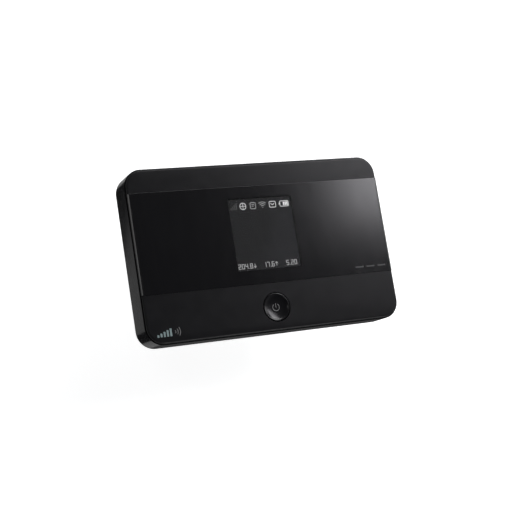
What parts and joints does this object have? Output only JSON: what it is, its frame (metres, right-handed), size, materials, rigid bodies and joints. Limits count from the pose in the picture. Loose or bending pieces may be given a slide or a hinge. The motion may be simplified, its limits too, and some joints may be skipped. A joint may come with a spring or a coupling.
{
  "type": "mobile hotspot",
  "caption": "Pocket router: flat rounded case with a small screen in a gloss band, dished power button, side key, USB port, and a battery and cards behind a snap-off rear cover.",
  "frame": {"origin": "middle of the rear cover's flat outer face, which is the surface the hotspot lies on", "axes": "+X along the width, to the right as the face is read; +Y towards the top edge of the face; +Z out of the face"},
  "size_m": [0.106, 0.066, 0.016],
  "materials": {
    "frame_plastic": "fine satin moulding, near black",
    "rear_plastic": "fine matt moulding texture, near black",
    "face_plastic": "fine matt moulding texture, charcoal",
    "panel_gloss": "polished, black",
    "adhesive_tape": "film",
    "lcd_glass": "polished glass over a dark layer",
    "backlight_white": "white film",
    "inner_plastic": "plain moulding, black",
    "foam": "open foam, black",
    "flex_film": "amber polyimide film",
    "connector_plastic": "ivory moulding",
    "switch_steel": "stamped",
    "board_laminate": "green solder mask",
    "chip_resin": "moulded resin",
    "ceramic": "fired ceramic",
    "shield_steel": "stamped nickel silver",
    "thermal_rubber": "soft silicone",
    "port_steel": "stamped, bright",
    "contact_gold": "gold flash",
    "card_white": "white",
    "card_black": "black",
    "battery_wrap": "smooth wrap, black",
    "label_film": "pale printed film",
    "antenna_copper": "copper foil",
    "screw_steel": "dark zinc",
    "button_plastic": "satin moulding, charcoal",
    "button_nib": "white nylon"
  },
  "bodies": {
    "housing": {"mid_frame": "frame_plastic", "front_cover": "face_plastic", "front_panel": "panel_gloss", "panel_adhesive": "adhesive_tape", "display_lcd": "lcd_glass", "display_backlight": "backlight_white", "display_frame": "inner_plastic", "display_gasket": "foam", "display_flex": "flex_film", "display_connector": "connector_plastic", "power_switch": "switch_steel", "menu_switch": "switch_steel", "reset_switch": "switch_steel", "main_board": "board_laminate", "board_chips": "chip_resin", "board_capacitors": "ceramic", "baseband_shield": "shield_steel", "rf_shield": "shield_steel", "wifi_shield": "shield_steel", "thermal_pad": "thermal_rubber", "usb_shell": "port_steel", "usb_insulator": "inner_plastic", "sim_reader": "port_steel", "sim_contacts": "contact_gold", "sd_reader": "port_steel", "sd_contacts": "contact_gold", "battery_connector": "inner_plastic", "battery_springs": "contact_gold", "bay_label": "label_film", "main_antenna_carrier": "inner_plastic", "main_antenna_foil": "antenna_copper", "diversity_antenna_carrier": "inner_plastic", "diversity_antenna_foil": "antenna_copper", "wifi_antenna_carrier": "inner_plastic", "wifi_antenna_foil": "antenna_copper", "housing_screws": "screw_steel", "board_screws": "screw_steel"},
    "rear_cover": {"rear_cover": "rear_plastic"},
    "battery": {"battery": "battery_wrap", "battery_label": "label_film", "battery_terminals": "contact_gold"},
    "power_button": {"power_button": "button_plastic"},
    "menu_button": {"menu_button": "button_plastic"},
    "reset_button": {"reset_button": "button_nib"},
    "sim_card": {"sim_card": "card_white"},
    "sd_card": {"sd_card": "card_black"}
  },
  "joints": [
    {"name": "cover_release", "type": "slide", "parent": "housing", "child": "rear_cover", "axis": [0, 0, -1], "range_m": [0, 0.03]},
    {"name": "battery_release", "type": "slide", "parent": "housing", "child": "battery", "axis": [0, 0, -1], "range_m": [0, 0.015]},
    {"name": "power_press", "type": "slide", "parent": "housing", "child": "power_button", "axis": [0, 0, -1], "range_m": [0, 0.0003], "stiffness_N_per_m": 400, "springref_m": -0.0005},
    {"name": "menu_press", "type": "slide", "parent": "housing", "child": "menu_button", "axis": [-1, 0, 0], "range_m": [0, 0.0003], "stiffness_N_per_m": 400, "springref_m": -0.0005},
    {"name": "reset_press", "type": "slide", "parent": "housing", "child": "reset_button", "axis": [0, 0, 1], "range_m": [0, 0.0002], "stiffness_N_per_m": 300, "springref_m": -0.0005},
    {"name": "sim_slide", "type": "slide", "parent": "housing", "child": "sim_card", "axis": [0, 1, 0], "range_m": [0, 0.016]},
    {"name": "sd_slide", "type": "slide", "parent": "housing", "child": "sd_card", "axis": [0, 1, 0], "range_m": [0, 0.016]}
  ],
  "couplings": [
    {"joint": "battery_release", "follows": "cover_release", "ratio": 0.5}
  ]
}
